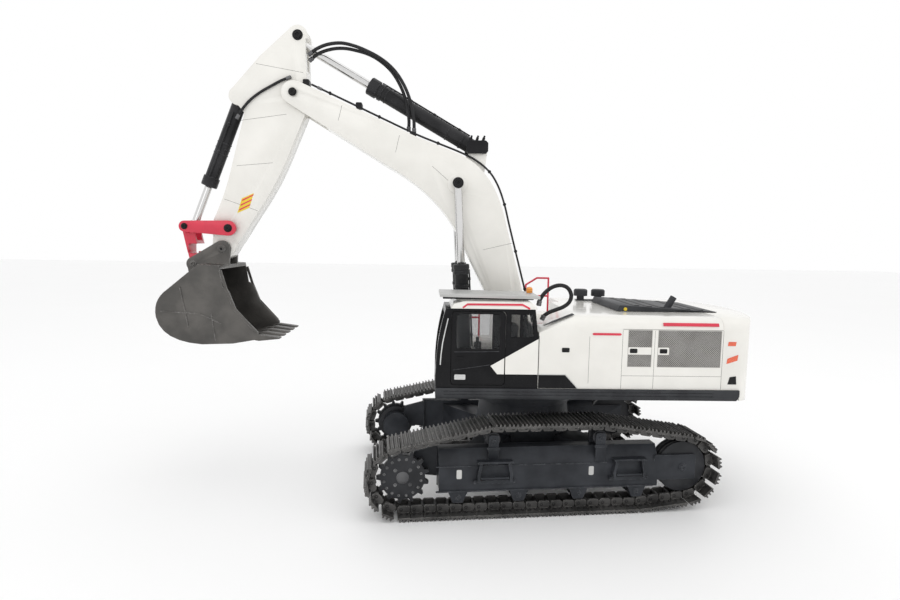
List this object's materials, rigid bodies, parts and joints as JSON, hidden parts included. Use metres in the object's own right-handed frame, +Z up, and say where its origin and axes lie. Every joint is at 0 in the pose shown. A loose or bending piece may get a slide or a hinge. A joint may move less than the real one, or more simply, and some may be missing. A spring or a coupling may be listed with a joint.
{
  "type": "radio controlled excavator",
  "caption": "Crawler excavator model with turning upper structure, opening cab door, and boom, stick and bucket moved by hydraulic style cylinders.",
  "frame": {"origin": "under the middle of the whole machine's bounding box, on the surface that the tracks stand on", "axes": "+Z up, +X towards the counterweight and the idlers, -X towards the bucket and the sprockets, -Y the cab side; the tracks run along X and the upper structure is turned 5.1 degrees"},
  "size_m": [0.6336, 0.2396, 0.4975],
  "materials": {
    "white_shell": "warm white gloss plastic",
    "painted_counterweight": "warm white gloss paint",
    "black_plastic": "satin black plastic",
    "charcoal_plastic": "matte charcoal plastic",
    "undercarriage_paint": "dark satin paint",
    "track_metal": "bare dark metal, worn bright at the edges",
    "bucket_metal": "dull dark metal",
    "polished_rod": "polished",
    "bright_steel": "machined",
    "accent_red": "raspberry red",
    "amber_lamp": "amber, translucent",
    "black_rubber": "smooth",
    "board_green": "green solder mask"
  },
  "bodies": {
    "undercarriage": {"car_body": "undercarriage_paint", "slew_ring": "bright_steel", "track_frame_left": "undercarriage_paint", "track_frame_right": "undercarriage_paint", "track_belt_left": "track_metal", "track_belt_right": "track_metal"},
    "sprocket_left": {"sprocket_left": "charcoal_plastic"},
    "idler_left": {"idler_left": "charcoal_plastic"},
    "bottom_roller_left_1": {"bottom_roller_left_1": "charcoal_plastic"},
    "bottom_roller_left_2": {"bottom_roller_left_2": "charcoal_plastic"},
    "bottom_roller_left_3": {"bottom_roller_left_3": "charcoal_plastic"},
    "bottom_roller_left_4": {"bottom_roller_left_4": "charcoal_plastic"},
    "carrier_roller_left_1": {"carrier_roller_left_1": "charcoal_plastic"},
    "carrier_roller_left_2": {"carrier_roller_left_2": "charcoal_plastic"},
    "sprocket_right": {"sprocket_right": "charcoal_plastic"},
    "idler_right": {"idler_right": "charcoal_plastic"},
    "bottom_roller_right_1": {"bottom_roller_right_1": "charcoal_plastic"},
    "bottom_roller_right_2": {"bottom_roller_right_2": "charcoal_plastic"},
    "bottom_roller_right_3": {"bottom_roller_right_3": "charcoal_plastic"},
    "bottom_roller_right_4": {"bottom_roller_right_4": "charcoal_plastic"},
    "carrier_roller_right_1": {"carrier_roller_right_1": "charcoal_plastic"},
    "carrier_roller_right_2": {"carrier_roller_right_2": "charcoal_plastic"},
    "upper_structure": {"platform": "charcoal_plastic", "side_skirt": "charcoal_plastic", "body_housing": "white_shell", "counterweight": "painted_counterweight", "hood_cover": "charcoal_plastic", "intake_caps": "charcoal_plastic", "handrail": "accent_red", "swing_motor": "bright_steel", "battery_pack": "black_plastic", "control_board": "board_green", "cab_frame": "black_plastic", "cab_roof": "white_shell", "roof_guard": "charcoal_plastic", "seat": "black_plastic", "beacon": "amber_lamp", "boom_foot_pin": "bright_steel", "cab_cable": "black_rubber"},
    "cab_door": {"cab_door": "black_plastic"},
    "boom": {"boom": "white_shell", "boom_lift_pin": "black_plastic", "stick_pin": "black_plastic", "boom_hose": "black_rubber", "arch_hose_outer": "black_rubber", "arch_hose_inner": "black_rubber"},
    "boom_rods": {"boom_rod_left": "polished_rod", "boom_rod_right": "polished_rod"},
    "boom_barrels": {"boom_cylinder_left": "black_plastic", "boom_cylinder_right": "black_plastic"},
    "arm_barrel": {"arm_cylinder": "charcoal_plastic"},
    "arm_rod": {"arm_rod": "polished_rod"},
    "stick": {"stick": "white_shell", "bucket_pin": "black_plastic", "stick_hose": "black_rubber"},
    "rocker": {"rocker_arms": "accent_red"},
    "link": {"bucket_link": "accent_red"},
    "bucket": {"bucket": "bucket_metal"},
    "bucket_barrel": {"bucket_cylinder": "black_plastic"},
    "bucket_rod": {"bucket_rod": "polished_rod"}
  },
  "joints": [
    {"name": "track_drive_left", "type": "hinge", "parent": "undercarriage", "child": "sprocket_left", "pos_m": [-0.06435, -0.09095, 0.038], "axis": [0, 1, 0], "continuous": true},
    {"name": "idler_spin_left", "type": "hinge", "parent": "undercarriage", "child": "idler_left", "pos_m": [0.22365, -0.09095, 0.043], "axis": [0, 1, 0], "continuous": true},
    {"name": "bottom_roller_spin_left_1", "type": "hinge", "parent": "undercarriage", "child": "bottom_roller_left_1", "pos_m": [-0.01035, -0.09095, 0.0186], "axis": [0, 1, 0], "continuous": true},
    {"name": "bottom_roller_spin_left_2", "type": "hinge", "parent": "undercarriage", "child": "bottom_roller_left_2", "pos_m": [0.05131, -0.09095, 0.0186], "axis": [0, 1, 0], "continuous": true},
    {"name": "bottom_roller_spin_left_3", "type": "hinge", "parent": "undercarriage", "child": "bottom_roller_left_3", "pos_m": [0.11298, -0.09095, 0.0186], "axis": [0, 1, 0], "continuous": true},
    {"name": "bottom_roller_spin_left_4", "type": "hinge", "parent": "undercarriage", "child": "bottom_roller_left_4", "pos_m": [0.17465, -0.09095, 0.0186], "axis": [0, 1, 0], "continuous": true},
    {"name": "carrier_roller_spin_left_1", "type": "hinge", "parent": "undercarriage", "child": "carrier_roller_left_1", "pos_m": [0.02465, -0.09095, 0.076], "axis": [0, 1, 0], "continuous": true},
    {"name": "carrier_roller_spin_left_2", "type": "hinge", "parent": "undercarriage", "child": "carrier_roller_left_2", "pos_m": [0.13465, -0.09095, 0.076], "axis": [0, 1, 0], "continuous": true},
    {"name": "track_drive_right", "type": "hinge", "parent": "undercarriage", "child": "sprocket_right", "pos_m": [-0.06435, 0.09945, 0.038], "axis": [0, 1, 0], "continuous": true},
    {"name": "idler_spin_right", "type": "hinge", "parent": "undercarriage", "child": "idler_right", "pos_m": [0.22365, 0.09945, 0.043], "axis": [0, 1, 0], "continuous": true},
    {"name": "bottom_roller_spin_right_1", "type": "hinge", "parent": "undercarriage", "child": "bottom_roller_right_1", "pos_m": [-0.01035, 0.09945, 0.0186], "axis": [0, 1, 0], "continuous": true},
    {"name": "bottom_roller_spin_right_2", "type": "hinge", "parent": "undercarriage", "child": "bottom_roller_right_2", "pos_m": [0.05131, 0.09945, 0.0186], "axis": [0, 1, 0], "continuous": true},
    {"name": "bottom_roller_spin_right_3", "type": "hinge", "parent": "undercarriage", "child": "bottom_roller_right_3", "pos_m": [0.11298, 0.09945, 0.0186], "axis": [0, 1, 0], "continuous": true},
    {"name": "bottom_roller_spin_right_4", "type": "hinge", "parent": "undercarriage", "child": "bottom_roller_right_4", "pos_m": [0.17465, 0.09945, 0.0186], "axis": [0, 1, 0], "continuous": true},
    {"name": "carrier_roller_spin_right_1", "type": "hinge", "parent": "undercarriage", "child": "carrier_roller_right_1", "pos_m": [0.02465, 0.09945, 0.076], "axis": [0, 1, 0], "continuous": true},
    {"name": "carrier_roller_spin_right_2", "type": "hinge", "parent": "undercarriage", "child": "carrier_roller_right_2", "pos_m": [0.13465, 0.09945, 0.076], "axis": [0, 1, 0], "continuous": true},
    {"name": "swing", "type": "hinge", "parent": "undercarriage", "child": "upper_structure", "pos_m": [0.07965, 0.00425, 0.108], "axis": [0, 0, 1], "continuous": true},
    {"name": "cab_door_hinge", "type": "hinge", "parent": "upper_structure", "child": "cab_door", "pos_m": [0.0346, -0.09664, 0.165], "axis": [0, 0, 1], "range_deg": [0, 100]},
    {"name": "boom_lift", "type": "hinge", "parent": "upper_structure", "child": "boom", "pos_m": [0.07666, 0.00452, 0.15], "axis": [0.0889, 0.996, 0], "range_deg": [-40, 6]},
    {"name": "boom_rod_turn", "type": "hinge", "parent": "boom", "child": "boom_rods", "pos_m": [-0.00203, 0.01154, 0.3333], "axis": [0.0889, 0.996, 0], "range_deg": [-3, 1]},
    {"name": "boom_cylinder_stroke", "type": "slide", "parent": "boom_rods", "child": "boom_barrels", "axis": [0.0591, -0.0053, -0.9982], "range_m": [-0.046, 0.007]},
    {"name": "stick_turn", "type": "hinge", "parent": "boom", "child": "stick", "pos_m": [-0.17972, 0.0274, 0.4265], "axis": [-0.0889, -0.996, 0], "range_deg": [-45, 30], "deforming": ["arch_hose_outer", "arch_hose_inner"]},
    {"name": "arm_cylinder_turn", "type": "hinge", "parent": "boom", "child": "arm_barrel", "pos_m": [0.02287, 0.00932, 0.371], "axis": [-0.0889, -0.996, 0], "range_deg": [-4, 3]},
    {"name": "arm_rod_stroke", "type": "slide", "parent": "arm_barrel", "child": "arm_rod", "axis": [-0.8697, 0.0776, 0.4875], "range_m": [-0.043, 0.029]},
    {"name": "bucket_turn", "type": "hinge", "parent": "stick", "child": "bucket", "pos_m": [-0.25771, 0.03436, 0.2577], "axis": [-0.0889, -0.996, 0], "range_deg": [-50, 55]},
    {"name": "rocker_turn", "type": "hinge", "parent": "stick", "child": "rocker", "pos_m": [-0.24935, 0.03361, 0.2804], "axis": [-0.0889, -0.996, 0], "range_deg": [-36, 40]},
    {"name": "link_turn", "type": "hinge", "parent": "rocker", "child": "link", "pos_m": [-0.29586, 0.03776, 0.2817], "axis": [-0.0889, -0.996, 0], "range_deg": [-16, 14.5]},
    {"name": "bucket_cylinder_turn", "type": "hinge", "parent": "stick", "child": "bucket_barrel", "pos_m": [-0.23869, 0.03266, 0.4223], "axis": [-0.0889, -0.996, 0], "range_deg": [-4, 4.5]},
    {"name": "bucket_rod_stroke", "type": "slide", "parent": "bucket_barrel", "child": "bucket_rod", "axis": [-0.3596, 0.0321, -0.9326], "range_m": [-0.027, 0.03]}
  ],
  "couplings": [
    {"joint": "idler_spin_left", "follows": "track_drive_left", "ratio": 1},
    {"joint": "bottom_roller_spin_left_1", "follows": "track_drive_left", "ratio": 3.7324},
    {"joint": "bottom_roller_spin_left_2", "follows": "track_drive_left", "ratio": 3.7324},
    {"joint": "bottom_roller_spin_left_3", "follows": "track_drive_left", "ratio": 3.7324},
    {"joint": "bottom_roller_spin_left_4", "follows": "track_drive_left", "ratio": 3.7324},
    {"joint": "carrier_roller_spin_left_1", "follows": "track_drive_left", "ratio": 3.5333},
    {"joint": "carrier_roller_spin_left_2", "follows": "track_drive_left", "ratio": 3.5333},
    {"joint": "idler_spin_right", "follows": "track_drive_right", "ratio": 1},
    {"joint": "bottom_roller_spin_right_1", "follows": "track_drive_right", "ratio": 3.7324},
    {"joint": "bottom_roller_spin_right_2", "follows": "track_drive_right", "ratio": 3.7324},
    {"joint": "bottom_roller_spin_right_3", "follows": "track_drive_right", "ratio": 3.7324},
    {"joint": "bottom_roller_spin_right_4", "follows": "track_drive_right", "ratio": 3.7324},
    {"joint": "carrier_roller_spin_right_1", "follows": "track_drive_right", "ratio": 3.5333},
    {"joint": "carrier_roller_spin_right_2", "follows": "track_drive_right", "ratio": 3.5333},
    {"joint": "boom_rod_turn", "follows": "boom_lift", "ratio": 0.0627},
    {"joint": "boom_cylinder_stroke", "follows": "boom_lift", "m_per_rad": 0.06544},
    {"joint": "arm_cylinder_turn", "follows": "stick_turn", "ratio": 0.0794},
    {"joint": "arm_rod_stroke", "follows": "stick_turn", "m_per_rad": 0.05426},
    {"joint": "rocker_turn", "follows": "bucket_turn", "ratio": 0.7124},
    {"joint": "link_turn", "follows": "bucket_turn", "ratio": -0.2789},
    {"joint": "bucket_cylinder_turn", "follows": "bucket_turn", "ratio": 0.0738},
    {"joint": "bucket_rod_stroke", "follows": "bucket_turn", "m_per_rad": 0.03023}
  ]
}
